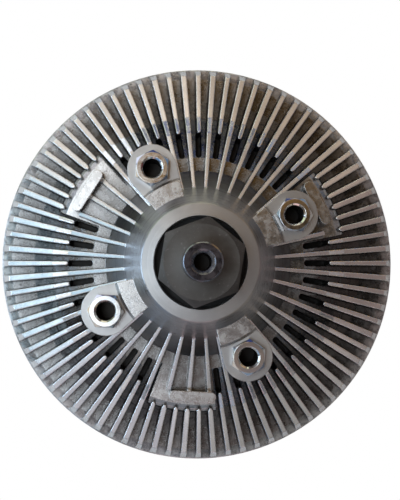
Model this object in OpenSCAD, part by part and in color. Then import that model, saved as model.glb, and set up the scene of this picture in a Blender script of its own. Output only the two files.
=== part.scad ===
// Viscous fan clutch for an engine cooling fan, in millimetres.
// The origin is on the axis, in the plane of the front cover's fin tips. +Z points to the rear,
// where the hexagon and the threaded stud are, and angles count from +X towards +Y.

/* [Rim and fins] */
// Diameter of the housing rim
rim_d = 194; // [190:0.5:198]
// Long fins on the rear; one short fin stands between each pair
long_fins = 40; // [36:4:44]
// Height of the rear fins above the rim floor
rim_fin_h = 11; // [9:0.5:13]
// How far the fin tops lean in from the rim edge
rim_lean = 5; // [4:0.25:6]
// Radius where a long fin's top leaves the hub cone
fin_in_r = 35.5; // [34:0.25:37]
// Radius of the first kink in the fin tops, where the short fins start
kink_in_r = 62.6; // [62:0.2:63.4]
// Fin top height at the first kink, above the fin tops at the rim
kink_in_h = 10; // [9:0.25:11]
// Radius of the second kink in the fin tops
kink_out_r = 70.5; // [69.5:0.25:71.5]
// Fin top height at the second kink, above the fin tops at the rim
kink_out_h = 5; // [4.5:0.25:6]
// Fall of the rim floor's outer edge
rim_fall = 1.6; // [1:0.1:2]
// Thickness of a long fin's top at the rim
long_fin_t = 2.7; // [2.4:0.1:3]
// Thickness of a short fin's top at the rim
short_fin_t = 2.3; // [2:0.1:2.6]
// Draft of each fin side, as thickness per height
fin_draft = 0.03; // [0.02:0.005:0.035]
// Length of a short fin's pointed nose
nose_l = 5; // [3:0.5:7]

/* [Hub and wall] */
// Height of the hub face above the fin tops at the rim
hub_h = 34; // [33:0.5:36]
// Outer radius of the hub face
hub_r = 27.4; // [27:0.1:28]
// Radius of the hole in the hub face
hub_hole_r = 21; // [20.8:0.1:21.6]
// Fall of the hub face from its hole to its outer edge
hub_fall = 0.7; // [0.4:0.1:1]
// Bevel of the hub face's edges
hub_bevel = 0.5; // [0.3:0.1:0.8]
// Radius where the turned cone ends
cone_r = 44.4; // [44:0.2:45]
// Step between the turned cone and the cast shelf
cone_step = 0.7; // [0.4:0.1:1]
// Outer radius of the shelf
shelf_r = 51; // [50.5:0.25:51.5]
// Height of the shelf above the fin tops at the rim
shelf_h = 4.5; // [4:0.25:5]
// Radius where the sloping wall ends in a ledge
ledge_r = 71.5; // [71:0.25:72]
// Height of that ledge above the rim floor
ledge_h = 2.6; // [2:0.2:3]
// Radius where the rim floor starts
foot_r = 81; // [80:0.25:82]
// Radius of the hollow under the hub, at the chamber
hollow_r = 47; // [46:0.25:48]
// Height of the hollow's straight side
hollow_h = 11; // [10:0.5:12]
// Width of the slots behind the short fins
slot_w = 2.7; // [2.4:0.1:3]

/* [Lugs and bars] */
// Diameter of the circle through the fan nuts
lug_pcd = 98; // [97:0.25:99]
// Angle of the first lug
lug_a = 27; // [27:9:36]
// Height of the lug faces above the fin tops at the rim
lug_h = 22; // [21:0.25:23]
// Height of the pilot shoulder above the lug faces
pilot_h = 3.6; // [3:0.2:4]
// How far the pilot shoulder slopes outwards to the lug faces
pilot_slope = 1.3; // [1:0.1:1.6]
// Gap between the pilot shoulder and a fan nut
pilot_gap = 0.8; // [0.5:0.1:1.2]
// Radius of a lug's round end
lug_end_r = 11.6; // [11.5:0.1:12]
// Inner radius of the three bars
bar_r = 60.8; // [60.6:0.1:61.2]
// Width of a bar
bar_w = 5; // [4.5:0.1:5.4]
// Length of a bar
bar_l = 22.4; // [21:0.2:23]
// Height of a bar above the shelf
bar_h = 8.5; // [7:0.25:9.5]
// Outer radius of the flat pads the bars stand on
pad_r = 71.2; // [70.8:0.1:71.6]
// How far the pads lie below the shelf
pad_drop = 0.06; // [0.05:0.01:0.2]

/* [Fan nuts] */
// Width across flats of a fan nut
nut_af = 15; // [14:0.25:16]
// Height of a fan nut above its lug
nut_h = 6; // [5:0.25:7]
// Radius of a fan nut's threaded hole, at the thread's crest
nut_hole_r = 4.25; // [4:0.05:4.5]
// Radius of the shank inside the lug
nut_shank_r = 6.5; // [6.2:0.1:6.8]
// Length of that shank
nut_shank_l = 16; // [13:0.5:18]

/* [Input shaft] */
// Width across flats of the drive hexagon
hex_af = 36; // [35:0.1:36.2]
// Height of the hexagon
hex_h = 12; // [10:0.5:14]
// Gap between the hub face and the hexagon
hex_gap = 1; // [0.6:0.1:1.5]
// Radius of the hexagon's flat end
hex_face_r = 17; // [16.5:0.1:17.4]
// Turn of the hexagon's corners at rest
hex_a = 20.9; // [0:0.1:30]
// Radius of the threaded stud
stud_r = 9; // [8.5:0.1:9.5]
// Length of the stud
stud_l = 14; // [12:0.5:18]
// Bevel of the stud's end
stud_bevel = 0.9; // [0.6:0.1:1.2]
// Radius of the hole along the stud
stud_hole_r = 3.8; // [3.5:0.1:4.1]
// Depth of that hole
stud_hole_l = 24; // [20:1:28]
// Radius of the countersink in the stud's end
stud_sink_r = 5.6; // [5:0.1:6]
// Radius of the collar under the hexagon
collar_r = 15.6; // [15.2:0.1:16]
// Radius of the shaft in the rotor
rotor_seat_r = 11; // [10.5:0.1:11.5]

/* [Bearing] */
// Bore radius of the bearing
bearing_in_r = 12.5; // [12.3:0.1:12.7]
// Outer radius of the bearing
bearing_out_r = 26; // [25.8:0.1:26.2]
// Width of the bearing
bearing_w = 15; // [14:0.25:16]
// Thickness of the housing lip behind the bearing
bearing_lip = 6; // [5.5:0.25:7]
// Number of balls
balls = 9; // [8:1:10]
// Radius of a ball
ball_r = 3.97; // [3.8:0.01:4.1]
// Thickness of each bearing seal
seal_t = 1.2; // [1:0.1:1.4]
// Thickness of both retaining rings
clip_t = 1.5; // [1.2:0.1:1.8]

/* [Front cover and chamber] */
// Height of the front fins
front_fin_h = 11; // [10:0.5:13]
// Front fins in all
front_fins = 40; // [36:4:44]
// Thickness of a front fin's tip
front_fin_t = 2; // [1.8:0.1:2.4]
// Radius where the front fins' tips start
front_fin_r = 44; // [43:0.5:46]
// Thickness of the cover
cover_t = 3.5; // [3.2:0.1:4]
// Depth of the fluid reservoir
reservoir_h = 4.5; // [4:0.25:6]
// Thickness of the housing rim around the cover
rim_t = 4; // [3.5:0.25:4.5]
// Thickness of the cover's flange
flange_t = 5; // [4.5:0.25:5.5]
// Thickness of the rolled lip that holds the cover
lip_t = 2.2; // [1.8:0.1:2.6]
// Thickness of the housing over the chamber
wall_t = 4; // [3.6:0.1:5]
// Width of the seat where cover and housing meet
seat_w = 10; // [9.5:0.25:11]
// Width of the seal ring under the cover's flange
seal_w = 2.4; // [2:0.1:2.8]

/* [Rotor, plate and valve] */
// Thickness of the rotor between its lands
rotor_t = 3.2; // [3:0.1:4]
// Length of the rotor's hub
rotor_hub_l = 15; // [14:0.5:16]
// Distance of the rotor's holes from the axis
rotor_hole_pos = 46; // [44:0.5:48]
// Radius of a hole in the rotor
rotor_hole_r = 4; // [3:0.25:4.5]
// Height of the annular lands
land_h = 4.4; // [3.8:0.1:4.6]
// Thickness of a land
land_w = 1.8; // [1.6:0.1:2]
// Working gap between rotor, lands and plate
run_gap = 0.65; // [0.5:0.05:0.75]
// Thickness of the pump plate
plate_t = 1.2; // [1:0.1:1.5]
// Radius of the port in the pump plate
port_r = 3.2; // [2.8:0.1:3.6]
// Distance of that port from the axis
port_pos = 34; // [32:0.5:36]
// Radius of the valve shaft
valve_r = 4; // [3.8:0.05:4.3]
// Running clearance of the valve shaft in the cover
valve_fit = 0.05; // [0.03:0.01:0.08]
// Thickness of the valve arm
arm_t = 0.9; // [0.8:0.05:1.1]

/* [Bimetal coil] */
// Thickness of the coil's strip
strip_t = 1; // [0.8:0.05:1.2]
// Spacing of the coil's turns
coil_pitch = 3.4; // [3:0.1:3.6]
// Turns of the coil, ending in its outer tang
coil_turns = 4.25; // [4.25:1:4.25]
// Radius where the coil starts
coil_in_r = 6.6; // [6.2:0.1:7]
// Clearance round the coil's tangs
tang_fit = 0.15; // [0.1:0.05:0.25]

/* [Hidden] */
$fn = 96;
e = 0.01;

// Colours, as the photo shows them or as such pieces usually are.
cast_silver = [0.68, 0.68, 0.67];
zinc = [0.78, 0.79, 0.82];
oxide_steel = [0.29, 0.28, 0.27];
bright_steel = [0.72, 0.72, 0.74];
spring_steel = [0.36, 0.36, 0.38];
black_rubber = [0.08, 0.08, 0.08];
bimetal_grey = [0.55, 0.52, 0.47];

// Levels, from the front fins' tips up to the stud's end.
z_web = front_fin_h;
z_reservoir = z_web + cover_t;
z_plate = z_reservoir + reservoir_h;
z_split = z_plate + plate_t;
z_rotor = z_split + run_gap;
z_rotor_back = z_rotor + rotor_t;
z_ceiling = z_rotor_back + land_h + run_gap;
z_floor = z_ceiling + wall_t;
z_rim = z_floor + rim_fin_h;
z_hub = z_rim + hub_h;
z_shelf = z_rim + shelf_h;
z_lug = z_rim + lug_h;
z_hex = z_hub + hex_gap;
z_stud = z_hex + hex_h;
z_end = z_stud + stud_l;
z_bearing_top = z_hub - bearing_lip;
z_bearing = z_bearing_top - bearing_w;
z_skirt = z_bearing - clip_t - 3;
z_flange = z_split - flange_t;
z_lip = z_flange - lip_t;
z_pilot = z_lug + pilot_h;
z_cone = z_hub - hub_fall - hub_bevel;

// Rim, cover and chamber radii, inwards from the rim.
rim_r = rim_d / 2;
cover_r = rim_r - rim_t;
lip_r = cover_r - 3.4;
body_r = lip_r - 1;
chamber_r = cover_r - seat_w;
rotor_r = chamber_r - 1;
seal_out_r = cover_r - 3.5;

// Interleaved lands: the rotor's start at its edge, and the housing's and cover's lie between them.
land_pitch = 2 * (land_w + run_gap);
rear_lands = 4;
front_lands = 3;
function rotor_land(i) = rotor_r - land_w - i * land_pitch;
function fixed_land(i) = rotor_land(i) - run_gap - land_w;

// Pump plate and reservoir radii, inside the innermost front land.
ring_r = rotor_land(front_lands - 1) - run_gap;
plate_r = ring_r - 4;
reservoir_r = plate_r - 4;

// Angles of the fins, lugs and bars.
long_pitch = 360 / long_fins;
lug_half_a = 1.5 * long_pitch;
bar_a = lug_a;
pad_before = 15.5;
pad_after = 11;

// The pilot shoulder stays clear of the nuts.
pilot_r = lug_pcd / 2 - nut_af / 2 - pilot_gap - pilot_slope;

// Slope of the turned cone: a radius for each height.
cone_run = (cone_r - hub_r) / (z_cone - z_shelf - cone_step);
function cone_at(z) = hub_r + (z_cone - z) * cone_run;
z_fin_in = z_cone - (fin_in_r - hub_r) / cone_run;

// The bearing's inner sizes.
pitch_r = (bearing_in_r + bearing_out_r) / 2;
race_r = ball_r + 0.15;
shoulder = 2.3;
z_balls = z_bearing + bearing_w / 2;
seal_seat_r = pitch_r + shoulder + 0.8;

// A pad's two sides lie halfway between fins, so an angle goes to the middle of its fin gap.
function mid_gap(a) = (floor(2 * a / long_pitch) + 0.5) * long_pitch / 2;
function pad_start(k) = mid_gap(bar_a + 120 * k - pad_before);
function pad_stop(k) = mid_gap(bar_a + 120 * k + pad_after);

// True where a fin at angle a would cross one of the three bars' pads.
function on_pad(a) = len([for (k = [0:2]) if (a > pad_start(k) && a < pad_stop(k)) k]) > 0;

// A profile of radius and height, turned once round the axis.
module turned(points) {
    rotate_extrude() polygon(points);
}

// A rib along +X: its side view cut by its drafted cross-section.
// t is the thickness at height z_t, and it grows by the draft below that height.
module rib(side, t, z_t, z_low, z_high, draft) {
    function half(z) = t / 2 + (z_t - z) * draft;
    reach = rim_r + 5;
    intersection() {
        rotate([90, 0, 0]) linear_extrude(height = 12, center = true) polygon(side);
        rotate([90, 0, 90]) linear_extrude(height = reach)
            polygon([[-half(z_low), z_low], [half(z_low), z_low], [half(z_high), z_high],
                [-half(z_high), z_high]]);
    }
}

// The rear housing

// Corners of the housing's lands, going inwards along the chamber's ceiling.
function housing_lands() = [for (i = [0 : rear_lands - 2], p = [
    [fixed_land(i) + land_w, z_ceiling], [fixed_land(i) + land_w, z_rotor_back + run_gap],
    [fixed_land(i), z_rotor_back + run_gap], [fixed_land(i), z_ceiling]]) p];

function housing_outside() = [
    [hub_hole_r, z_hub - hub_bevel], [hub_hole_r + hub_bevel, z_hub],
    [hub_r - hub_bevel, z_cone + hub_bevel], [hub_r, z_cone],
    [cone_r, z_shelf + cone_step], [cone_r + 0.4, z_shelf],
    [shelf_r, z_shelf], [ledge_r, z_floor + ledge_h],
    [ledge_r + 4.6, z_floor + ledge_h - 1.1], [ledge_r + 5, z_floor + ledge_h - 1.5], [foot_r, z_floor],
    [rim_r - rim_lean, z_floor - 0.2], [rim_r - 0.5, z_floor - rim_fall], [rim_r, z_floor - rim_fall - 0.5],
    [rim_r, z_lip + 1], [rim_r - 1, z_lip]];

function housing_inside() = concat(
    [[lip_r, z_lip], [lip_r, z_flange], [cover_r, z_flange], [cover_r, z_split], [chamber_r, z_split],
        [chamber_r, z_ceiling]],
    housing_lands(),
    [[hollow_r, z_ceiling], [hollow_r - 5, z_ceiling + hollow_h], [bearing_out_r + 7, z_skirt],
        [bearing_out_r, z_skirt]],
    [[bearing_out_r, z_bearing - clip_t], [bearing_out_r + 1.3, z_bearing - clip_t],
        [bearing_out_r + 1.3, z_bearing], [bearing_out_r, z_bearing]],
    [[bearing_out_r, z_bearing_top], [hub_hole_r, z_bearing_top]]);

// Side views of the fins. Each runs down into the wall, clear of the chamber.
function fin_top(r) = r < kink_out_r
    ? z_rim + kink_in_h + (r - kink_in_r) * (kink_out_h - kink_in_h) / (kink_out_r - kink_in_r)
    : z_rim + kink_out_h * (rim_r - rim_lean - r) / (rim_r - rim_lean - kink_out_r);

rib_root = [[rim_r - 0.5, z_floor - 1.8], [ledge_r, z_floor - 1.8]];

function outer_side(start) = concat(
    [[start, z_floor - 1.8], [start, fin_top(start)]],
    start < kink_out_r - 0.5 ? [[kink_out_r, fin_top(kink_out_r)]] : [],
    [[rim_r - rim_lean, z_rim], [rim_r - 0.5, z_floor - 1.8]]);

function long_side() = concat(
    [[fin_in_r - 1, z_fin_in - 3], [fin_in_r - 1, z_fin_in + 0.37], [kink_in_r, fin_top(kink_in_r)],
        [kink_out_r, fin_top(kink_out_r)], [rim_r - rim_lean, z_rim]],
    rib_root, [[shelf_r, z_shelf - 3], [cone_r, z_shelf - 3]]);

function inner_side() = [
    [fin_in_r - 1, z_fin_in - 3], [fin_in_r - 1, z_fin_in + 0.37],
    [bar_r + 1, fin_top(kink_in_r) + 0.4], [bar_r + 1, z_shelf - 3], [cone_r, z_shelf - 3]];

module long_rib(side) {
    rib(side, long_fin_t, z_rim, z_floor - 2, z_fin_in + 1, fin_draft);
}

// A short fin, with a nose that comes to a blunt point in plan view.
module nosed_rib(start, t) {
    intersection() {
        rib(outer_side(start), t, z_rim, z_floor - 2, z_fin_in, fin_draft);
        translate([0, 0, z_floor - 3]) linear_extrude(height = z_fin_in)
            polygon([[start - 0.1, -0.4], [start + nose_l, -3], [rim_r, -3], [rim_r, 3], [start + nose_l, 3],
                [start - 0.1, 0.4]]);
    }
}

module rear_fins() {
    for (k = [0 : long_fins - 1]) {
        long_a = (k + 0.5) * long_pitch;
        rotate(long_a) {
            if (on_pad(long_a)) {
                long_rib(inner_side());
                nosed_rib(pad_r - 1.2, long_fin_t);
            } else {
                long_rib(long_side());
            }
        }
        short_a = k * long_pitch;
        rotate(short_a) nosed_rib(on_pad(short_a) ? pad_r - 1.2 : kink_in_r, short_fin_t);
    }
}

// Points on the half circle about [x, y], from angle a, in flat steps.
function half_round(x, y, r, a) = [for (i = [0:10]) [x + r * cos(a + 18 * i), y + r * sin(a + 18 * i)]];

// Deep slots with a round inner end, one behind each short fin.
module rear_slots() {
    for (k = [0 : long_fins - 1]) {
        if (!on_pad(k * long_pitch)) {
            rotate(k * long_pitch) translate([0, 0, z_floor + 1]) linear_extrude(height = 20)
                polygon(concat(half_round(shelf_r + slot_w / 2, 0, slot_w / 2, 90),
                    [[kink_in_r + 0.6, -slot_w / 2], [kink_in_r + 0.6, slot_w / 2]]));
        }
    }
}

// The flat pads that carry the bars, with a bevelled outer edge.
module pads() {
    for (k = [0:2]) {
        rotate(pad_start(k)) rotate_extrude(angle = pad_stop(k) - pad_start(k))
            polygon([[shelf_r - 3, z_floor - 1], [shelf_r - 3, z_shelf - pad_drop],
                [pad_r - 3.2, z_shelf - pad_drop], [pad_r - 1.2, z_shelf - 0.9], [pad_r + 0.2, z_shelf - 2.6],
                [pad_r + 1.2, z_shelf - 5.4], [pad_r + 2, z_floor - 1]]);
    }
}

// A straight bar with round ends, across the radial direction.
module bars() {
    half = (bar_l - bar_w) / 2;
    for (k = [0:2]) {
        rotate(bar_a + 120 * k) translate([bar_r + bar_w / 2, 0, z_shelf - 2])
            linear_extrude(height = bar_h + 2)
                polygon(concat(half_round(0, half, bar_w / 2, 0), half_round(0, -half, bar_w / 2, 180)));
    }
}

// A lug: a wedge from the hub with a round end, turned down outside the pilot shoulder.
module lugs() {
    reach = lug_pcd / 2;
    foot = z_floor + 1;
    difference() {
        for (k = [0:3]) {
            rotate(lug_a + 90 * k) {
                translate([0, 0, foot]) linear_extrude(height = z_pilot - foot) {
                    polygon([for (s = [-1, 1], r = s < 0 ? [31, reach - 1] : [reach - 1, 31])
                        [r * cos(s * lug_half_a), r * sin(s * lug_half_a)]]);
                    translate([reach, 0]) circle(r = lug_end_r);
                }
            }
        }
        turned([[pilot_r, z_pilot + 1], [pilot_r, z_pilot], [pilot_r + pilot_slope, z_lug],
            [reach + 20, z_lug], [reach + 20, z_pilot + 1]]);
        turned([[0, z_floor], [0, z_hub], [hub_r - 2, z_hub], [cone_at(z_shelf) - 6, z_shelf],
            [cone_at(z_shelf) - 6, z_floor]]);
    }
}

// The turned shell with its pads, slots and fins.
module finned_shell() {
    difference() {
        union() {
            turned(concat(housing_outside(), housing_inside()));
            pads();
        }
        rear_slots();
    }
    rear_fins();
}

module rear_housing() {
    color(cast_silver) difference() {
        union() {
            union() {
                union() finned_shell();
                bars();
            }
            lugs();
        }
        for (k = [0:3]) {
            rotate(lug_a + 90 * k) translate([lug_pcd / 2, 0, z_lug - nut_shank_l])
                cylinder(r = nut_shank_r, h = nut_shank_l + 1);
        }
    }
}

// Threaded inserts with a hexagon collar, one flat towards the axis.
module fan_nuts() {
    corner = nut_af / sqrt(3);
    color(zinc) for (k = [0:3]) {
        rotate(lug_a + 90 * k) translate([lug_pcd / 2, 0, z_lug]) difference() {
            union() {
                intersection() {
                    rotate(30) cylinder(r = corner, h = nut_h, $fn = 6);
                    turned([[0, 0], [corner + 1, 0], [corner + 1, nut_h - 1.7],
                        [nut_af / 2 - 0.4, nut_h], [0, nut_h]]);
                }
                translate([0, 0, -nut_shank_l]) cylinder(r = nut_shank_r, h = nut_shank_l + 1);
            }
            translate([0, 0, -nut_shank_l - 1]) cylinder(r = nut_hole_r, h = nut_shank_l + nut_h + 2);
            translate([0, 0, nut_h - 0.9]) cylinder(r1 = nut_hole_r, r2 = nut_hole_r + 1, h = 1);
        }
    }
}

// Hexagon, stud, bearing seat and rotor seat in one forging; its front end is spun over the rotor.
module input_shaft() {
    corner = hex_af / sqrt(3);
    spun_t = 2;
    z_step = z_rotor + rotor_hub_l;
    color(oxide_steel) difference() {
        union() {
            turned([[0, z_rotor + 0.2], [rotor_seat_r + 2, z_rotor + 0.2],
                [rotor_seat_r + 2, z_rotor + spun_t], [rotor_seat_r, z_rotor + spun_t],
                [rotor_seat_r, z_step], [bearing_in_r, z_step],
                [bearing_in_r, z_bearing - clip_t], [bearing_in_r - 1, z_bearing - clip_t],
                [bearing_in_r - 1, z_bearing], [bearing_in_r, z_bearing],
                [bearing_in_r, z_bearing_top], [collar_r, z_bearing_top],
                [collar_r, z_hex + 1], [stud_r, z_hex + 1],
                [stud_r, z_end - stud_bevel], [stud_r - stud_bevel, z_end], [0, z_end]]);
            intersection() {
                translate([0, 0, z_hex]) rotate(hex_a) cylinder(r = corner, h = hex_h, $fn = 6);
                turned([[0, z_hex], [hex_face_r + 1, z_hex], [corner + 1, z_hex + 1.5],
                    [corner + 1, z_stud - (corner + 1 - hex_face_r) * tan(30)], [hex_face_r, z_stud],
                    [0, z_stud]]);
            }
        }
        translate([0, 0, z_end - stud_hole_l]) cylinder(r = stud_hole_r, h = stud_hole_l + 1);
        translate([0, 0, z_end - 1.8]) cylinder(r1 = stud_hole_r, r2 = stud_sink_r, h = 1.8 + e);
    }
}

// The front cover

// Corners of the cover's lands, going inwards along its groove floor.
function cover_lands() = [for (i = [0 : front_lands - 2], p = [
    [fixed_land(i) + land_w, z_rotor - land_h - run_gap], [fixed_land(i) + land_w, z_rotor - run_gap],
    [fixed_land(i), z_rotor - run_gap], [fixed_land(i), z_rotor - land_h - run_gap]]) p];

boss_r = 10;
z_boss = z_web - 1.5;
z_boss_back = z_plate - 0.3 - arm_t - 0.3;
valve_bore_r = valve_r + valve_fit;
z_groove = z_rotor - land_h - run_gap;

module front_cover() {
    color(cast_silver) difference() {
        union() {
            turned(concat(
                [[valve_bore_r, z_boss], [boss_r, z_boss], [boss_r, z_web], [body_r, z_web],
                    [body_r, z_flange], [cover_r, z_flange], [cover_r, z_split]],
                [[seal_out_r, z_split], [seal_out_r, z_split - seal_w],
                    [seal_out_r - seal_w, z_split - seal_w], [seal_out_r - seal_w, z_split],
                    [chamber_r, z_split], [chamber_r, z_groove]],
                cover_lands(),
                [[ring_r, z_groove], [ring_r, z_split], [plate_r, z_split], [plate_r, z_plate],
                    [reservoir_r, z_plate], [reservoir_r, z_reservoir], [boss_r, z_reservoir],
                    [boss_r, z_boss_back], [valve_bore_r, z_boss_back]]));
            for (k = [0 : front_fins - 1]) {
                rotate(k * 360 / front_fins) rib(
                    [[front_fin_r - 6, z_web + 1], [front_fin_r - 6, z_web - 2], [front_fin_r, 0],
                        [body_r - 1.5, 0], [body_r - 0.5, z_web + 1]],
                    front_fin_t, 0, 0, z_web + 2, -fin_draft);
            }
        }
        for (x = [-1, 1]) {
            translate([x * rivet_x, rivet_y, z_web - e]) cylinder(r = rivet_r, h = rivet_l + e, $fn = 48);
        }
    }
}

// Square-cut ring in the cover's groove, against the housing.
module cover_seal() {
    color(black_rubber) turned([[seal_out_r - seal_w, z_split - seal_w], [seal_out_r, z_split - seal_w],
        [seal_out_r, z_split], [seal_out_r - seal_w, z_split]]);
}

// The bearing

module bearing_outer_ring() {
    color(bright_steel) difference() {
        turned([[seal_seat_r, z_bearing], [bearing_out_r, z_bearing], [bearing_out_r, z_bearing_top],
            [seal_seat_r, z_bearing_top], [seal_seat_r, z_bearing_top - seal_t - 0.3],
            [pitch_r + shoulder, z_bearing_top - seal_t - 0.3],
            [pitch_r + shoulder, z_bearing + seal_t + 0.3], [seal_seat_r, z_bearing + seal_t + 0.3]]);
        translate([0, 0, z_balls]) rotate_extrude() translate([pitch_r, 0]) circle(r = race_r, $fn = 64);
    }
}

module bearing_inner_ring() {
    color(bright_steel) difference() {
        turned([[bearing_in_r, z_bearing], [pitch_r - shoulder, z_bearing],
            [pitch_r - shoulder, z_bearing_top], [bearing_in_r, z_bearing_top]]);
        translate([0, 0, z_balls]) rotate_extrude() translate([pitch_r, 0]) circle(r = race_r, $fn = 64);
    }
}

module ball_places() {
    for (k = [0 : balls - 1]) {
        rotate(k * 360 / balls) translate([pitch_r, 0, z_balls]) children();
    }
}

module bearing_balls() {
    color(bright_steel) ball_places() sphere(r = ball_r, $fn = 48);
}

module bearing_cage() {
    half = ball_r + 1.2;
    color(black_rubber) difference() {
        turned([[pitch_r - 1.6, z_balls - half], [pitch_r + 1.6, z_balls - half],
            [pitch_r + 1.6, z_balls + half], [pitch_r - 1.6, z_balls + half]]);
        ball_places() sphere(r = race_r, $fn = 48);
    }
}

module bearing_seal(z) {
    color(black_rubber) turned([[pitch_r - shoulder + 0.3, z], [seal_seat_r, z], [seal_seat_r, z + seal_t],
        [pitch_r - shoulder + 0.3, z + seal_t]]);
}

module bearing_seal_rear() {
    bearing_seal(z_bearing_top - seal_t - 0.3);
}

module bearing_seal_front() {
    bearing_seal(z_bearing + 0.3);
}

// A retaining ring with a gap: in the housing's groove under the outer ring.
module bearing_retaining_ring() {
    color(spring_steel) difference() {
        turned([[bearing_out_r - 2.4, z_bearing - clip_t], [bearing_out_r + 1.2, z_bearing - clip_t],
            [bearing_out_r + 1.2, z_bearing], [bearing_out_r - 2.4, z_bearing]]);
        translate([0, -4, z_bearing - clip_t - 1]) cube([bearing_out_r + 5, 8, clip_t + 2]);
    }
}

// The shaft's own retaining ring, under the inner ring.
module shaft_retaining_ring() {
    color(spring_steel) difference() {
        turned([[bearing_in_r - 0.9, z_bearing - clip_t], [bearing_in_r + 2.6, z_bearing - clip_t],
            [bearing_in_r + 2.6, z_bearing], [bearing_in_r - 0.9, z_bearing]]);
        translate([0, -3, z_bearing - clip_t - 1]) cube([bearing_in_r + 5, 6, clip_t + 2]);
    }
}

// Rotor, pump plate and valve

function rotor_front() = [for (i = [front_lands - 1 : -1 : 0], p = [
    [rotor_land(i), z_rotor], [rotor_land(i), z_rotor - land_h], [rotor_land(i) + land_w, z_rotor - land_h],
    [rotor_land(i) + land_w, z_rotor]]) if (i > 0 || p != [rotor_r, z_rotor]) p];

function rotor_rear() = [for (i = [0 : rear_lands - 1], p = [
    [rotor_land(i) + land_w, z_rotor_back], [rotor_land(i) + land_w, z_rotor_back + land_h],
    [rotor_land(i), z_rotor_back + land_h], [rotor_land(i), z_rotor_back]])
    if (i > 0 || p[1] > z_rotor_back || p[0] < rotor_r) p];

module rotor() {
    z_hub_end = z_rotor + rotor_hub_l;
    color(cast_silver) difference() {
        turned(concat(
            [[rotor_seat_r, z_rotor + 2], [rotor_seat_r + 2.3, z_rotor + 2], [rotor_seat_r + 2.3, z_rotor]],
            rotor_front(), rotor_rear(),
            [[rotor_seat_r + 9, z_rotor_back], [rotor_seat_r + 6, z_hub_end], [rotor_seat_r, z_hub_end]]));
        for (k = [0:5]) {
            rotate(60 * k) translate([rotor_hole_pos, 0, z_rotor - 1])
                cylinder(r = rotor_hole_r, h = rotor_t + 2, $fn = 48);
        }
    }
}

// Steel disc over the reservoir, with the valve's port and a return hole beside its wiper step.
module pump_plate() {
    color(bright_steel) difference() {
        union() {
            translate([0, 0, z_plate]) cylinder(r = plate_r, h = plate_t);
            rotate(-10) rotate_extrude(angle = 20) translate([plate_r - 9, z_split - 0.2])
                square([6, 0.2 + 0.3]);
        }
        rotate(port_a) translate([port_pos, 0, z_plate - 1]) cylinder(r = port_r, h = plate_t + 2, $fn = 48);
        rotate(14) translate([reservoir_r - 3, 0, z_plate - 1]) cylinder(r = 1.5, h = plate_t + 2, $fn = 48);
    }
}

port_a = 200;
arm_hub_r = 6;
arm_tip_r = port_r + 1.6;
spigot_r = 2.4;
z_arm = z_plate - 0.3 - arm_t;
seal_groove = 1.2;
z_valve_seal = z_web + 1;
z_head = 2;

// Leaf that covers the plate's port when cold.
module valve_arm() {
    color(bright_steel) rotate(port_a) translate([0, 0, z_arm]) linear_extrude(height = arm_t) difference() {
        union() {
            circle(r = arm_hub_r);
            translate([port_pos, 0]) circle(r = arm_tip_r);
            polygon([[0, -arm_hub_r + 1], [port_pos, -arm_tip_r + 1], [port_pos, arm_tip_r - 1],
                [0, arm_hub_r - 1]]);
        }
        circle(r = spigot_r);
    }
}

// Pin through the cover, with a slotted head for the coil and a spigot for the arm.
module valve_shaft() {
    head_r = valve_r + 1;
    color(bright_steel) difference() {
        turned([[0, z_head], [head_r, z_head], [head_r, z_boss - 0.3], [valve_r, z_boss - 0.3],
            [valve_r, z_valve_seal], [valve_r - seal_groove, z_valve_seal],
            [valve_r - seal_groove, z_valve_seal + 1.4], [valve_r, z_valve_seal + 1.4],
            [valve_r, z_arm], [spigot_r, z_arm], [spigot_r, z_arm + arm_t], [0, z_arm + arm_t]]);
        translate([-head_r - 1, -strip_t / 2 - tang_fit, z_head - 1])
            cube([2 * head_r + 2, strip_t + 2 * tang_fit, z_boss - 0.6 - z_head]);
    }
}

module valve_seal() {
    color(black_rubber) turned([[valve_r - seal_groove, z_valve_seal], [valve_r, z_valve_seal],
        [valve_r, z_valve_seal + 1.4], [valve_r - seal_groove, z_valve_seal + 1.4]]);
}

// The bimetal coil and its bracket

coil_steps = 40;
z_coil = z_head + 0.4;
coil_w = z_boss - 1.9 - z_coil;
coil_end_r = coil_in_r + coil_pitch * coil_turns;
tang_end = coil_end_r + 7;

// Points along a spiral at a distance from the strip's middle line.
function spiral(side) = [for (i = [0 : coil_steps * coil_turns])
    let (a = 360 * i / coil_steps, r = coil_in_r + coil_pitch * a / 360 + side) [r * cos(a), r * sin(a)]];

function reversed(points) = [for (i = [len(points) - 1 : -1 : 0]) points[i]];

module bimetal_coil() {
    half = strip_t / 2;
    color(bimetal_grey) translate([0, 0, z_coil]) linear_extrude(height = coil_w) {
        polygon(concat(spiral(half), reversed(spiral(-half))));
        translate([-valve_r + 0.5, -half]) square([coil_in_r + valve_r - 0.5 + 0.1, strip_t]);
        translate([-half, coil_end_r - 0.2]) square([strip_t, tang_end - coil_end_r + 0.2]);
    }
}

rivet_x = 6.5;
rivet_y = coil_end_r + 6.5;
rivet_r = 1.6;
rivet_l = 2.4;
bracket_t = 1.2;

// Folded steel strip: a foot on the cover and two ears that hold the coil's outer tang.
module coil_bracket() {
    foot_x = rivet_x + 3.2;
    foot_y = rivet_y - 3.2;
    ear_x = strip_t / 2 + tang_fit;
    color(bright_steel) difference() {
        union() {
            translate([-foot_x, foot_y, z_web - bracket_t]) cube([2 * foot_x, 6.4, bracket_t]);
            for (side = [0, 1]) {
                mirror([side, 0, 0]) translate([ear_x, foot_y, z_head])
                    cube([bracket_t, 4.4, z_web - z_head]);
            }
        }
        for (x = [-1, 1]) {
            translate([x * rivet_x, rivet_y, z_web - bracket_t - 1]) cylinder(r = rivet_r, h = 3, $fn = 48);
        }
    }
}

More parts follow.
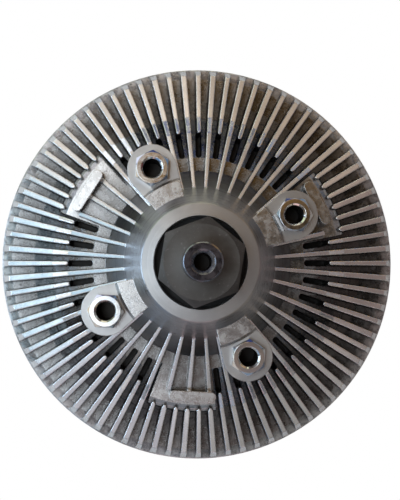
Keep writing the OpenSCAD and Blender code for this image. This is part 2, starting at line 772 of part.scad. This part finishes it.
module bracket_rivets() {
    color(bright_steel) for (x = [-1, 1]) {
        translate([x * rivet_x, rivet_y, 0]) turned([[0, z_web - bracket_t - 1.2],
            [1.8, z_web - bracket_t - 1.2], [2.7, z_web - bracket_t - 0.5],
            [2.7, z_web - bracket_t], [rivet_r, z_web - bracket_t],
            [rivet_r, z_web + rivet_l], [0, z_web + rivet_l]]);
    }
}

rear_housing();
fan_nuts();
input_shaft();
front_cover();
cover_seal();
bearing_outer_ring();
bearing_inner_ring();
bearing_balls();
bearing_cage();
bearing_seal_rear();
bearing_seal_front();
bearing_retaining_ring();
shaft_retaining_ring();
rotor();
pump_plate();
valve_shaft();
valve_arm();
valve_seal();
bimetal_coil();
coil_bracket();
bracket_rivets();
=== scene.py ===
"""Looks of the viscous fan clutch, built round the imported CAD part."""

import math

import bpy
from mathutils import Matrix, Vector
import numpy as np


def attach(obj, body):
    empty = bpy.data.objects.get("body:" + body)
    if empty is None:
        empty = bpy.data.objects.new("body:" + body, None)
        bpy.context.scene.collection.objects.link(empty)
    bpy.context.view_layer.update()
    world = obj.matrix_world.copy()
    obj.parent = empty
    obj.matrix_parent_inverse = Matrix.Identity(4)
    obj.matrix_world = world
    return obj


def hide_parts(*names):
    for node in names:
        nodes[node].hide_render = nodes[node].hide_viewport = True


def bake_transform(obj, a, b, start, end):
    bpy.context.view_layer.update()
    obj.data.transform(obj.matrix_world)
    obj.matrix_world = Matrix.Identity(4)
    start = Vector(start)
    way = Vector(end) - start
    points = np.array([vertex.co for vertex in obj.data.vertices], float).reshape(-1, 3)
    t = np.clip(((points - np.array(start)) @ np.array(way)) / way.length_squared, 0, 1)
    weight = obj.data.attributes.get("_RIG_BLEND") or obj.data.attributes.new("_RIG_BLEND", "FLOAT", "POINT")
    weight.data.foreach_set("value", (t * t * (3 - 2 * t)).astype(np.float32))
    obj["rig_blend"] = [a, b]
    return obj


MM = 0.001

# Levels and radii of the CAD part, in millimetres.
Z_RIM = 44.1
Z_SHELF = 48.6
Z_CONE = 76.9
Z_LUG = 66.1
Z_HEX = 79.1
Z_STUD = 91.1
Z_END = 105.1
HUB_R = 27.4
CONE_R = 44.4
RIM_R = 97.0
HEX_AF = 36.0
HEX_TURN = 20.9
HEX_FACE_R = 17.0
COLLAR_R = 15.6
STUD_R = 9.0
STUD_BEVEL = 0.9
STUD_HOLE_R = 3.8
STUD_HOLE_L = 24.0
STUD_SINK_R = 5.6
STUD_SINK_H = 1.8
THREAD_PITCH = 1.5
THREAD_DEPTH = 0.92
BEARING_R = 12.5
Z_BEARING_TOP = 72.1
ROTOR_SEAT_R = 11.0
Z_ROTOR = 20.85
NUT_R = 49.0
FIN_IN_R = 35.5
Z_FIN_IN = 64.1
KINK_IN_R = 62.6
KINK_OUT_R = 70.5
COIL_IN_R = 7.7
COIL_OUT_R = 20.0

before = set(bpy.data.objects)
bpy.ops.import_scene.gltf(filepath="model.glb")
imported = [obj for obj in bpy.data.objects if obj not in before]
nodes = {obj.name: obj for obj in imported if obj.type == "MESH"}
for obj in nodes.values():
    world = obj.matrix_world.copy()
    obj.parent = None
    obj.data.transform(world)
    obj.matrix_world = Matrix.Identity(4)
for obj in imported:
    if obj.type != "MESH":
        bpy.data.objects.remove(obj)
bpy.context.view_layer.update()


# Materials


class Shader:
    """A material's node tree, with short calls for the nodes that these materials use."""

    def __init__(self, name):
        self.material = bpy.data.materials.new(name)
        self.material.use_nodes = True
        self.tree = self.material.node_tree
        self.bsdf = self.tree.nodes["Principled BSDF"]

    def node(self, kind, **settings):
        made = self.tree.nodes.new(kind)
        for key, value in settings.items():
            setattr(made, key, value)
        return made

    def link(self, source, target):
        self.tree.links.new(source, target)

    def value(self, socket, value):
        """Sets an input to a constant, or links it to another node's output."""
        if isinstance(value, bpy.types.NodeSocket):
            self.link(value, socket)
        else:
            socket.default_value = value

    def coordinates(self):
        return self.node("ShaderNodeTexCoord").outputs["Object"]

    def math(self, operation, a, b=0.0, clamp=False):
        made = self.node("ShaderNodeMath", operation=operation, use_clamp=clamp)
        self.value(made.inputs[0], a)
        self.value(made.inputs[1], b)
        return made.outputs[0]

    def noise(self, vector, scale, detail=3.0, roughness=0.5):
        made = self.node("ShaderNodeTexNoise")
        self.link(vector, made.inputs["Vector"])
        made.inputs["Scale"].default_value = scale
        made.inputs["Detail"].default_value = detail
        made.inputs["Roughness"].default_value = roughness
        return made.outputs["Fac"]

    def spread(self, source, low, high, to_low, to_high):
        """Maps a range of values onto another, smoothly."""
        made = self.node("ShaderNodeMapRange", interpolation_type="SMOOTHSTEP")
        self.link(source, made.inputs["Value"])
        made.inputs["From Min"].default_value = low
        made.inputs["From Max"].default_value = high
        made.inputs["To Min"].default_value = to_low
        made.inputs["To Max"].default_value = to_high
        return made.outputs["Result"]

    def mix(self, factor, a, b):
        made = self.node("ShaderNodeMix", data_type="RGBA")
        self.value(made.inputs["Factor"], factor)
        for socket, colour in (("A", a), ("B", b)):
            target = [s for s in made.inputs if s.name == socket and s.type == "RGBA"][0]
            if isinstance(colour, bpy.types.NodeSocket):
                self.link(colour, target)
            else:
                target.default_value = (*colour, 1.0)
        return [s for s in made.outputs if s.type == "RGBA"][0]

    def multiply(self, a, b):
        made = self.node("ShaderNodeMix", data_type="RGBA", blend_type="MULTIPLY")
        made.inputs["Factor"].default_value = 1.0
        colours = [i for i in made.inputs if i.type == "RGBA"]
        self.link(a, colours[0])
        self.link(b, colours[1])
        return [o for o in made.outputs if o.type == "RGBA"][0]

    def bump(self, height, strength, distance, normal=None):
        made = self.node("ShaderNodeBump")
        self.link(height, made.inputs["Height"])
        made.inputs["Strength"].default_value = strength
        made.inputs["Distance"].default_value = distance
        if normal is not None:
            self.link(normal, made.inputs["Normal"])
        return made.outputs["Normal"]

    def rounded(self, radius):
        """Edges catch the light as if they were rounded by this radius."""
        made = self.node("ShaderNodeBevel", samples=6)
        made.inputs["Radius"].default_value = radius
        return made.outputs["Normal"]

    def openness(self, distance):
        """How open a place is to its surroundings: low in narrow hollows."""
        made = self.node("ShaderNodeAmbientOcclusion", samples=6, only_local=True)
        made.inputs["Distance"].default_value = distance
        return made.outputs["AO"]

    def radius(self, vector):
        """Distance from the Z axis."""
        split = self.node("ShaderNodeSeparateXYZ")
        self.link(vector, split.inputs[0])
        x, y = split.outputs["X"], split.outputs["Y"]
        square = self.math("ADD", self.math("MULTIPLY", x, x), self.math("MULTIPLY", y, y))
        return self.math("SQRT", square)

    def height(self, vector):
        split = self.node("ShaderNodeSeparateXYZ")
        self.link(vector, split.inputs[0])
        return split.outputs["Z"]

    def finish(self, colour, roughness, metallic, normal=None):
        self.link(colour, self.bsdf.inputs["Base Color"])
        self.value(self.bsdf.inputs["Roughness"], roughness)
        self.bsdf.inputs["Metallic"].default_value = metallic
        if normal is not None:
            self.link(normal, self.bsdf.inputs["Normal"])
        return self.material


def cast_metal(name, dull, light, roughness, hollow_shade_share, mottle):
    """Die-cast aluminium: mottled skin, fine grain and shallow pits.

    hollow_shade_share is the share of its brightness that is left in narrow hollows, where shade is
    painted into its colour; mottle is the height of its larger bumps.
    """
    s = Shader(name)
    at = s.coordinates()
    grain = s.noise(at, 900, 4, 0.6)
    patches = s.noise(at, 230, 4, 0.65)
    clouds = s.noise(at, 45, 2)
    pits = s.spread(s.noise(at, 420, 2), 0.63, 0.74, 1.0, 0.0)
    tone = s.math("ADD", patches, s.math("MULTIPLY", clouds, 0.4))
    colour = s.mix(s.spread(tone, 0.5, 0.9, 0, 1), dull, light)
    colour = s.mix(pits, tuple(c * 0.7 for c in dull), colour)
    # Painted shade: the colour is multiplied down in narrow hollows, found by ambient occlusion.
    painted_hollow_shade = s.spread(s.openness(0.014), 0.1, 0.7, hollow_shade_share, 1.0)
    tint = s.node("ShaderNodeCombineColor")
    for i in range(3):
        s.link(painted_hollow_shade, tint.inputs[i])
    colour = s.multiply(colour, tint.outputs[0])
    rough = s.spread(patches, 0.3, 0.7, roughness - 0.06, roughness + 0.08)
    normal = s.bump(grain, 0.15, 0.0001, s.rounded(0.0005))
    normal = s.bump(patches, mottle, 0.0006, normal)
    return s.finish(colour, rough, 1.0, normal)


def fin_top_metal():
    """The fins' tops: bare bright metal, rounded at its edges, with faint wear along the fin."""
    s = Shader("fin_tops")
    at = s.coordinates()
    wear = s.noise(at, 90, 3)
    colour = s.mix(s.spread(wear, 0.35, 0.65, 0, 1), (0.80, 0.80, 0.80), (0.90, 0.895, 0.88))
    rough = s.spread(s.noise(at, 220, 3), 0.3, 0.7, 0.2, 0.28)
    return s.finish(colour, rough, 1.0, s.rounded(0.0009))


def turned_metal(name, dull, light, roughness, groove):
    """Aluminium turned on a lathe: fine rings about the axis."""
    s = Shader(name)
    at = s.coordinates()
    along = s.math("SUBTRACT", s.radius(at), s.math("MULTIPLY", s.height(at), 0.7))
    drift = s.math("MULTIPLY", s.noise(at, 40, 1), 0.8)
    wobble = s.math("ADD", s.math("MULTIPLY", along, 7000), drift)
    rings = s.math("SINE", wobble)
    bands = s.node("ShaderNodeTexNoise", noise_dimensions="1D")
    s.link(s.math("MULTIPLY", along, 1500), bands.inputs["W"])
    bands.inputs["Scale"].default_value = 1.0
    stain = s.noise(at, 70, 4, 0.6)
    colour = s.mix(s.spread(stain, 0.35, 0.7, 0, 1), dull, light)
    rough = s.spread(bands.outputs["Fac"], 0.3, 0.7, roughness - 0.05, roughness + 0.06)
    normal = s.bump(rings, groove, 0.00004, s.rounded(0.0004))
    normal = s.bump(s.noise(at, 1100, 3), 0.1, 0.00008, normal)
    return s.finish(colour, rough, 1.0, normal)


def plated_steel(name, colour, tint, rough_low, rough_high):
    """Smooth steel whose colour and gloss vary in faint clouds."""
    s = Shader(name)
    at = s.coordinates()
    cloud = s.noise(at, 160, 3)
    shade = s.mix(s.spread(cloud, 0.35, 0.65, 0, 1), colour, tint)
    rough = s.spread(s.noise(at, 320, 3), 0.3, 0.7, rough_low, rough_high)
    normal = s.bump(s.noise(at, 700, 2), 0.06, 0.00005, s.rounded(0.0004))
    return s.finish(shade, rough, 1.0, normal)


def painted_thread_shade():
    """Near-black painted shade for the inside of a tapped hole, with rings of lighter and darker painted
    shade up it at the thread's pitch, round each nut's own axis.
    """
    s = Shader("tapped_hole_shade")
    at = s.coordinates()
    rings = s.math("SINE", s.math("MULTIPLY", s.height(at), 2 * math.pi / 0.0015))
    colour = s.mix(s.spread(rings, -1, 1, 0, 1), (0.004, 0.004, 0.004), (0.03, 0.028, 0.026))
    return s.finish(colour, 0.35, 1.0, s.bump(rings, 0.9, 0.0006))


def oxide_steel():
    """Dark phosphate steel with faint scuffs."""
    s = Shader("oxide_steel")
    at = s.coordinates()
    cloud = s.noise(at, 120, 4)
    scuffs = s.spread(s.noise(at, 700, 2, 0.7), 0.6, 0.75, 0, 1)
    colour = s.mix(s.spread(cloud, 0.3, 0.7, 0, 1), (0.085, 0.08, 0.075), (0.12, 0.115, 0.108))
    colour = s.mix(s.math("MULTIPLY", scuffs, 0.3), colour, (0.3, 0.3, 0.3))
    rough = s.spread(cloud, 0.3, 0.7, 0.42, 0.55)
    normal = s.bump(s.noise(at, 1600, 3), 0.2, 0.0001, s.rounded(0.0003))
    return s.finish(colour, rough, 0.85, normal)


def rubber(name, colour):
    """Matt black rubber or plastic."""
    s = Shader(name)
    at = s.coordinates()
    cloud = s.noise(at, 300, 3)
    shade = s.mix(s.spread(cloud, 0.3, 0.7, 0, 1), colour, tuple(c * 1.8 for c in colour))
    rough = s.spread(cloud, 0.3, 0.7, 0.55, 0.75)
    return s.finish(shade, rough, 0.0, s.bump(s.noise(at, 2000, 2), 0.2, 0.0001))


# Each cast metal's fifth number is the share of its colour kept in narrow hollows, where shade is painted.
CAST = cast_metal("cast_aluminium", (0.36, 0.355, 0.35), (0.74, 0.73, 0.715), 0.28, 0.13, 0.4)
# Painted shade: the slots' insides get a much darker cast finish than the rest of the same casting.
SLOT_SHADE_CAST = cast_metal("slot_painted_shade", (0.07, 0.068, 0.066), (0.13, 0.127, 0.122), 0.4, 0.3, 0.2)
SMOOTH_CAST = cast_metal("smooth_cast", (0.50, 0.50, 0.50), (0.58, 0.575, 0.565), 0.25, 0.3, 0.06)
FIN_TOPS = fin_top_metal()
HUB_RING = turned_metal("hub_ring", (0.38, 0.38, 0.38), (0.44, 0.435, 0.425), 0.42, 0.1)
CONE = turned_metal("hub_cone", (0.36, 0.36, 0.365), (0.42, 0.415, 0.41), 0.32, 0.14)
TURNED = turned_metal("turned_aluminium", (0.43, 0.43, 0.43), (0.52, 0.515, 0.50), 0.36, 0.08)
ZINC = plated_steel("zinc_steel", (0.54, 0.56, 0.60), (0.64, 0.62, 0.58), 0.11, 0.2)
BARE = plated_steel("bare_steel", (0.16, 0.17, 0.20), (0.25, 0.245, 0.25), 0.18, 0.28)
STUD_END = plated_steel("stud_end", (0.045, 0.04, 0.045), (0.08, 0.07, 0.075), 0.22, 0.34)
TAPPED_SHADE = painted_thread_shade()
OXIDE = oxide_steel()
BEARING = plated_steel("bearing_steel", (0.62, 0.62, 0.63), (0.7, 0.7, 0.71), 0.12, 0.2)
SHEET = plated_steel("sheet_steel", (0.56, 0.56, 0.57), (0.64, 0.63, 0.62), 0.3, 0.42)
SPRING = plated_steel("spring_steel", (0.13, 0.13, 0.14), (0.2, 0.2, 0.21), 0.3, 0.45)
BIMETAL = plated_steel("bimetal", (0.42, 0.39, 0.34), (0.5, 0.46, 0.4), 0.28, 0.4)
RUBBER = rubber("black_rubber", (0.012, 0.012, 0.012))
CAGE = rubber("cage_plastic", (0.018, 0.018, 0.018))

FINISHES = {
    "rear_housing": CAST,
    "front_cover": CAST,
    "rotor": TURNED,
    "fan_nuts": ZINC,
    "input_shaft": OXIDE,
    "cover_seal": RUBBER,
    "bearing_outer_ring": BEARING,
    "bearing_inner_ring": BEARING,
    "bearing_balls": BEARING,
    "bearing_cage": CAGE,
    "bearing_seal_rear": RUBBER,
    "bearing_seal_front": RUBBER,
    "bearing_retaining_ring": SPRING,
    "shaft_retaining_ring": SPRING,
    "pump_plate": SHEET,
    "valve_shaft": ZINC,
    "valve_arm": SPRING,
    "valve_seal": RUBBER,
    "bimetal_coil": BIMETAL,
    "coil_bracket": SHEET,
    "bracket_rivets": ZINC,
}
for name, material in FINISHES.items():
    mesh = nodes[name].data
    mesh.materials.clear()
    mesh.materials.append(material)


def give_faces(name, material, wanted):
    """Gives a second finish to those faces of a CAD node whose centre and normal pass a test."""
    mesh = nodes[name].data
    mesh.materials.append(material)
    index = len(mesh.materials) - 1
    for face in mesh.polygons:
        x, y, z = face.center / MM
        if wanted(math.hypot(x, y), z, face.normal, x, y):
            face.material_index = index


def is_ring(r, z, normal, x, y):
    return r < HUB_R + 0.1 and z > Z_CONE - 5


def is_cone(r, z, normal, x, y):
    outward = (normal.x * x + normal.y * y) / max(r, 1e-6)
    cone = HUB_R + (Z_CONE - z) * (CONE_R - HUB_R) / (Z_CONE - Z_SHELF - 0.7)
    return outward > 0.3 and normal.z > 0.3 and z > Z_SHELF + 0.5 and abs(r - cone) < 0.4


def is_lug_face(r, z, normal, x, y):
    return abs(z - Z_LUG) < 0.05 and normal.z > 0.9


def nut_distance(x, y):
    """Distance from the nearest fan nut's axis."""
    turns = [math.radians(27 + 90 * k) for k in range(4)]
    return min(math.hypot(x - NUT_R * math.cos(t), y - NUT_R * math.sin(t)) for t in turns)


def is_nut_bottom(r, z, normal, x, y):
    return nut_distance(x, y) < 6.6 and z < Z_LUG - 8


def is_raised(r, z, normal, x, y):
    """The shelf, pads, bars and lugs, whose skin is smoother than the floors between the fins."""
    return z > Z_SHELF - 2.8 and normal.z > 0.2


def is_slot(r, z, normal, x, y):
    """The insides of the slots through the shelf, one on every second fin gap, painted dark as shade."""
    off = math.radians((math.degrees(math.atan2(y, x)) + 4.5) % 9 - 4.5)
    return 50.5 < r < 63.6 and 30 < z < Z_SHELF - 0.6 and abs(r * off) < 1.6


give_faces("rear_housing", SMOOTH_CAST, is_raised)
# Painted shade inside the slots.
give_faces("rear_housing", SLOT_SHADE_CAST, is_slot)
give_faces("rear_housing", HUB_RING, is_ring)
give_faces("rear_housing", CONE, is_cone)
give_faces("rear_housing", TURNED, is_lug_face)
# Painted shade: the housing's hole under each nut is painted near black.
give_faces("rear_housing", TAPPED_SHADE, is_nut_bottom)


def is_fin_top(r, z, normal, x, y):
    """The fins' ground tops: a line of height against radius with two kinks."""
    outward = (normal.x * x + normal.y * y) / max(r, 1e-6)
    if r > RIM_R - 5 and outward > 0.6 and Z_RIM - 10.5 < z < Z_RIM + 0.1:
        return True
    if normal.z < 0.7 or r < FIN_IN_R - 1.2 or r > RIM_R - 4.5:
        return False
    line = [
        (FIN_IN_R - 1, Z_FIN_IN),
        (KINK_IN_R, Z_RIM + 10),
        (KINK_OUT_R, Z_RIM + 5),
        (RIM_R - 5, Z_RIM),
    ]
    for (r0, z0), (r1, z1) in zip(line, line[1:]):
        if r0 - 0.2 <= r <= r1 + 0.2 and abs(z - z0 - (z1 - z0) * (r - r0) / (r1 - r0)) < 0.6:
            return True
    return False


give_faces("rear_housing", FIN_TOPS, is_fin_top)

# Slivers at the fins' feet tip the CAD mesh's own normals, so large faces set them instead.
for name in ("rear_housing", "front_cover"):
    even = nodes[name].modifiers.new("even_normals", "WEIGHTED_NORMAL")
    even.weight = 100
    even.keep_sharp = True


def in_nut_hole(r, z, normal, x, y):
    return nut_distance(x, y) < 4.6 and abs(normal.z) < 0.3


# Painted shade: the nuts' holes are painted near black.
give_faces("fan_nuts", TAPPED_SHADE, in_nut_hole)


# The input shaft, with its real screw thread


STEPS = 96


def mesh_piece(name, points, faces, material):
    """A new object from points in millimetres."""
    mesh = bpy.data.meshes.new(name)
    mesh.from_pydata([Vector(p) * MM for p in points], [], faces)
    mesh.materials.append(material)
    piece = bpy.data.objects.new(name, mesh)
    bpy.context.scene.collection.objects.link(piece)
    return piece


def ringed(rings):
    """Points and faces of a closed tube through rings of points; each ring has the same count."""
    count = len(rings[0])
    points = [p for ring in rings for p in ring]
    faces = []
    for i in range(len(rings) - 1):
        for j in range(count):
            a = i * count + j
            b = i * count + (j + 1) % count
            faces.append((a, b, b + count, a + count))
    return points, faces


def shade(piece, degrees=35):
    """Smooth faces, with sharp edges kept where they turn more than this."""
    for face in piece.data.polygons:
        face.use_smooth = True
    piece.data.set_sharp_from_angle(angle=math.radians(degrees))


def around(j):
    """Angle of a ring's point j; point 0 lies on a corner of the hexagon."""
    return math.radians(HEX_TURN + 360 * j / STEPS)


def circle(r, z):
    """A ring of points about the axis."""
    return [(r * math.cos(around(j)), r * math.sin(around(j)), z) for j in range(STEPS)]


def hexagon(height):
    """A ring along the hexagon's flats, whose height depends on the distance from the axis."""
    ring = []
    for j in range(STEPS):
        off = (360 * j / STEPS) % 60 - 30
        r = HEX_AF / 2 / math.cos(math.radians(off))
        ring.append((r * math.cos(around(j)), r * math.sin(around(j)), height(r)))
    return ring


def hexagon_foot(r):
    """The hexagon's underside, bevelled at its corners."""
    return Z_HEX + max(0.0, (r - HEX_AF / 2) * 0.5)


def hexagon_crown(r):
    """The hexagon's top, bevelled at 30 degrees outside its face."""
    return Z_STUD - (r - HEX_FACE_R) * math.tan(math.radians(30))


def shaft_rings():
    """Rings of the shaft from its front end to the stud's foot."""
    z_end = Z_ROTOR + 0.2
    z_flange = Z_ROTOR + 2
    z_seat = Z_ROTOR + 15
    return [
        circle(0.01, z_end),
        circle(ROTOR_SEAT_R + 2, z_end),
        circle(ROTOR_SEAT_R + 2, z_flange),
        circle(ROTOR_SEAT_R, z_flange),
        circle(ROTOR_SEAT_R, z_seat),
        circle(BEARING_R, z_seat),
        circle(BEARING_R, Z_BEARING_TOP),
        circle(COLLAR_R, Z_BEARING_TOP),
        circle(COLLAR_R, Z_HEX),
        hexagon(hexagon_foot),
        hexagon(hexagon_crown),
        circle(HEX_FACE_R, Z_STUD),
        circle(STUD_R + 0.6, Z_STUD),
        circle(STUD_R - THREAD_DEPTH, Z_STUD + 0.6),
    ]


def thread_radius(z, turn):
    """Radius of the stud's screw thread at a height and a share of a turn; it fades in at its foot."""
    phase = (z / THREAD_PITCH - turn) % 1
    tooth = min(1.0, max(0.0, abs(2 * phase - 1) * 1.25 - 0.1))
    limit = STUD_R - max(0.0, z - (Z_END - STUD_BEVEL))
    r = min(limit, STUD_R - THREAD_DEPTH * tooth)
    fade = min(1.0, (z - Z_STUD - 0.6) / 1.2)
    return (STUD_R - THREAD_DEPTH) * (1 - fade) + r * fade


def thread_rings():
    """Rings up the stud's screw thread, then its end face and down its hole."""
    z_low = Z_STUD + 0.6
    count = int((Z_END - z_low) / THREAD_PITCH * 10)
    rings = []
    for i in range(count + 1):
        z = z_low + (Z_END - z_low) * i / count
        ring = []
        for j in range(STEPS):
            r = thread_radius(z, j / STEPS)
            ring.append((r * math.cos(around(j)), r * math.sin(around(j)), z))
        rings.append(ring)
    rings.append(circle(STUD_SINK_R, Z_END))
    rings.append(circle(STUD_HOLE_R, Z_END - STUD_SINK_H))
    rings.append(circle(STUD_HOLE_R, Z_END - STUD_HOLE_L))
    rings.append(circle(0.01, Z_END - STUD_HOLE_L))
    return rings


points, faces = ringed(shaft_rings() + thread_rings())
shaft = mesh_piece("input_shaft_threaded", points, faces, OXIDE)
for finish in (TAPPED_SHADE, BARE, STUD_END):
    shaft.data.materials.append(finish)
for face in shaft.data.polygons:
    r = math.hypot(*face.center.xy) / MM
    z = face.center.z / MM
    in_sink = z > Z_END - STUD_SINK_H - 0.1 and r < STUD_SINK_R
    on_bevel = z > Z_END - STUD_BEVEL and r > STUD_R - STUD_BEVEL
    # Painted shade: the stud's hole is painted near black.
    if r < STUD_HOLE_R + 0.05 and z > Z_END - STUD_HOLE_L - 1:
        face.material_index = 1
    elif in_sink or on_bevel:
        face.material_index = 2
    elif z > Z_END - 0.05:
        face.material_index = 3
shade(shaft, 25)
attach(shaft, "shaft")
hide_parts("input_shaft")


# The bimetal coil, which winds up as the valve turns: its inner end goes with the valve shaft


coil = bpy.data.objects.new("bimetal_coil_wound", nodes["bimetal_coil"].data.copy())
bpy.context.scene.collection.objects.link(coil)
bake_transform(coil, "housing", "valve", start=(0.028, 0, 0), end=(0.0066, 0, 0))
for point, share in zip(coil.data.vertices, coil.data.attributes["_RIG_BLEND"].data):
    r = math.hypot(*point.co.xy) / MM
    share.value = min(1.0, max(0.0, (COIL_OUT_R - r) / (COIL_OUT_R - COIL_IN_R)))
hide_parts("bimetal_coil")


# Floor, light and camera


def floor_material():
    """Pale floor that the camera sees as plain white."""
    s = Shader("pale_floor")
    at = s.coordinates()
    colour = s.mix(s.spread(s.noise(at, 6, 3), 0.3, 0.7, 0, 1), (0.78, 0.78, 0.78), (0.82, 0.82, 0.81))
    s.finish(colour, 0.6, 0.0)
    path = s.node("ShaderNodeLightPath")
    glow = s.node("ShaderNodeEmission")
    glow.inputs["Color"].default_value = (1, 1, 1, 1)
    glow.inputs["Strength"].default_value = 1.0
    blend = s.node("ShaderNodeMixShader")
    s.link(path.outputs["Is Camera Ray"], blend.inputs["Fac"])
    s.link(s.bsdf.outputs[0], blend.inputs[1])
    s.link(glow.outputs[0], blend.inputs[2])
    s.link(blend.outputs[0], s.tree.nodes["Material Output"].inputs["Surface"])
    return s.material


bpy.ops.mesh.primitive_plane_add(size=4)
floor = bpy.context.object
floor.name = "floor"
floor.data.materials.append(floor_material())


# Width and height of a softbox at each elevation, as if it stood 0.9 m away.
SOFTBOX_SIZES = {72: (0.4, 0.4), 50: (0.7, 0.5), 22: (0.6, 0.3), 6: (0.6, 0.18)}
LIGHT_GAIN = 1.15


def softbox(azimuth, elevation, watts):
    """An area light aimed at the fins, placed by its direction; watts holds its red, green and blue.

    Those on the left stand close, so that their light falls off across the clutch.
    """
    near = 120 <= azimuth <= 240
    distance = 0.42 if near and elevation < 60 else 0.9
    scale = distance / 0.9
    strength = max(watts)
    data = bpy.data.lights.new(f"softbox_{azimuth}_{elevation}", "AREA")
    data.shape = "RECTANGLE"
    width, height = SOFTBOX_SIZES[elevation]
    data.size = width * scale
    data.size_y = height * scale
    data.energy = LIGHT_GAIN * strength * scale * scale
    data.color = tuple(w / strength for w in watts)
    lamp = bpy.data.objects.new(data.name, data)
    a = math.radians(azimuth)
    e = math.radians(elevation)
    out = Vector((math.cos(e) * math.cos(a), math.cos(e) * math.sin(a), math.sin(e)))
    lamp.location = Vector((0, 0, Z_RIM * MM)) + out * distance
    lamp.rotation_euler = out.to_track_quat("Z", "Y").to_euler()
    bpy.context.scene.collection.objects.link(lamp)


# A window on the left gives cool light, and the rest of the room is warmer and dimmer.
SOFTBOXES = [
    (90, 72, (0.14, 0.07, 0.01)), (180, 72, (1.25, 1.38, 1.50)), (270, 72, (0.13, 0.10, 0.09)),
    (0, 50, (0.18, 0.13, 0.12)), (60, 50, (0.42, 0.33, 0.25)), (120, 50, (0.73, 0.66, 0.58)),
    (180, 50, (0.51, 0.75, 0.93)), (240, 50, (0.43, 0.42, 0.47)), (300, 50, (0.27, 0.26, 0.25)),
    (0, 22, (0.16, 0.16, 0.16)), (45, 22, (0.08, 0.13, 0.20)), (90, 22, (0.00, 0.02, 0.12)),
    (135, 22, (0.68, 0.70, 0.82)), (180, 22, (0.50, 0.47, 0.41)), (225, 22, (0.38, 0.36, 0.35)),
    (270, 22, (0.12, 0.17, 0.22)), (315, 22, (0.04, 0.05, 0.07)), (0, 6, (0.05, 0.00, 0.00)),
    (45, 6, (0.28, 0.16, 0.05)), (90, 6, (0.56, 0.52, 0.35)), (135, 6, (0.31, 0.38, 0.24)),
    (180, 6, (0.97, 1.35, 1.82)), (225, 6, (0.03, 0.10, 0.21)), (270, 6, (0.38, 0.26, 0.27)),
    (315, 6, (0.18, 0.14, 0.10)),
]
for azimuth, elevation, watts in SOFTBOXES:
    softbox(azimuth, elevation, watts)

room = bpy.data.worlds.new("room")
room.use_nodes = True
room.node_tree.nodes["Background"].inputs["Color"].default_value = (0.5, 0.5, 0.5, 1)
room.node_tree.nodes["Background"].inputs["Strength"].default_value = 0.04
bpy.context.scene.world = room


def photo_camera():
    """A camera at the photo's place: the rim's centre and the shaft's lean are as in the photo."""
    focal_px = 1027.0
    distance = 0.5
    lean = Vector((0.0323, 0.0235))
    rim_centre = Vector((198.55 - 200.0, 250.0 - 263.27)) / focal_px * distance
    z_axis = Vector((lean.x, lean.y, math.sqrt(1 - lean.length_squared)))
    y_axis = (Vector((0, 1, 0)) - z_axis * z_axis.y).normalized()
    x_axis = y_axis.cross(z_axis)
    turn = Matrix((x_axis, y_axis, z_axis))
    place = Vector((0, 0, Z_RIM * MM)) - turn @ Vector((rim_centre.x, rim_centre.y, -distance))
    data = bpy.data.cameras.new("camera")
    data.sensor_width = 36.0
    data.lens = focal_px * 36.0 / 500.0
    data.clip_start = 0.01
    data.dof.use_dof = False
    camera = bpy.data.objects.new("camera", data)
    camera.matrix_world = Matrix.Translation(place) @ turn.to_4x4()
    bpy.context.scene.collection.objects.link(camera)
    bpy.context.scene.camera = camera


photo_camera()
bpy.context.scene.view_settings.view_transform = "Standard"
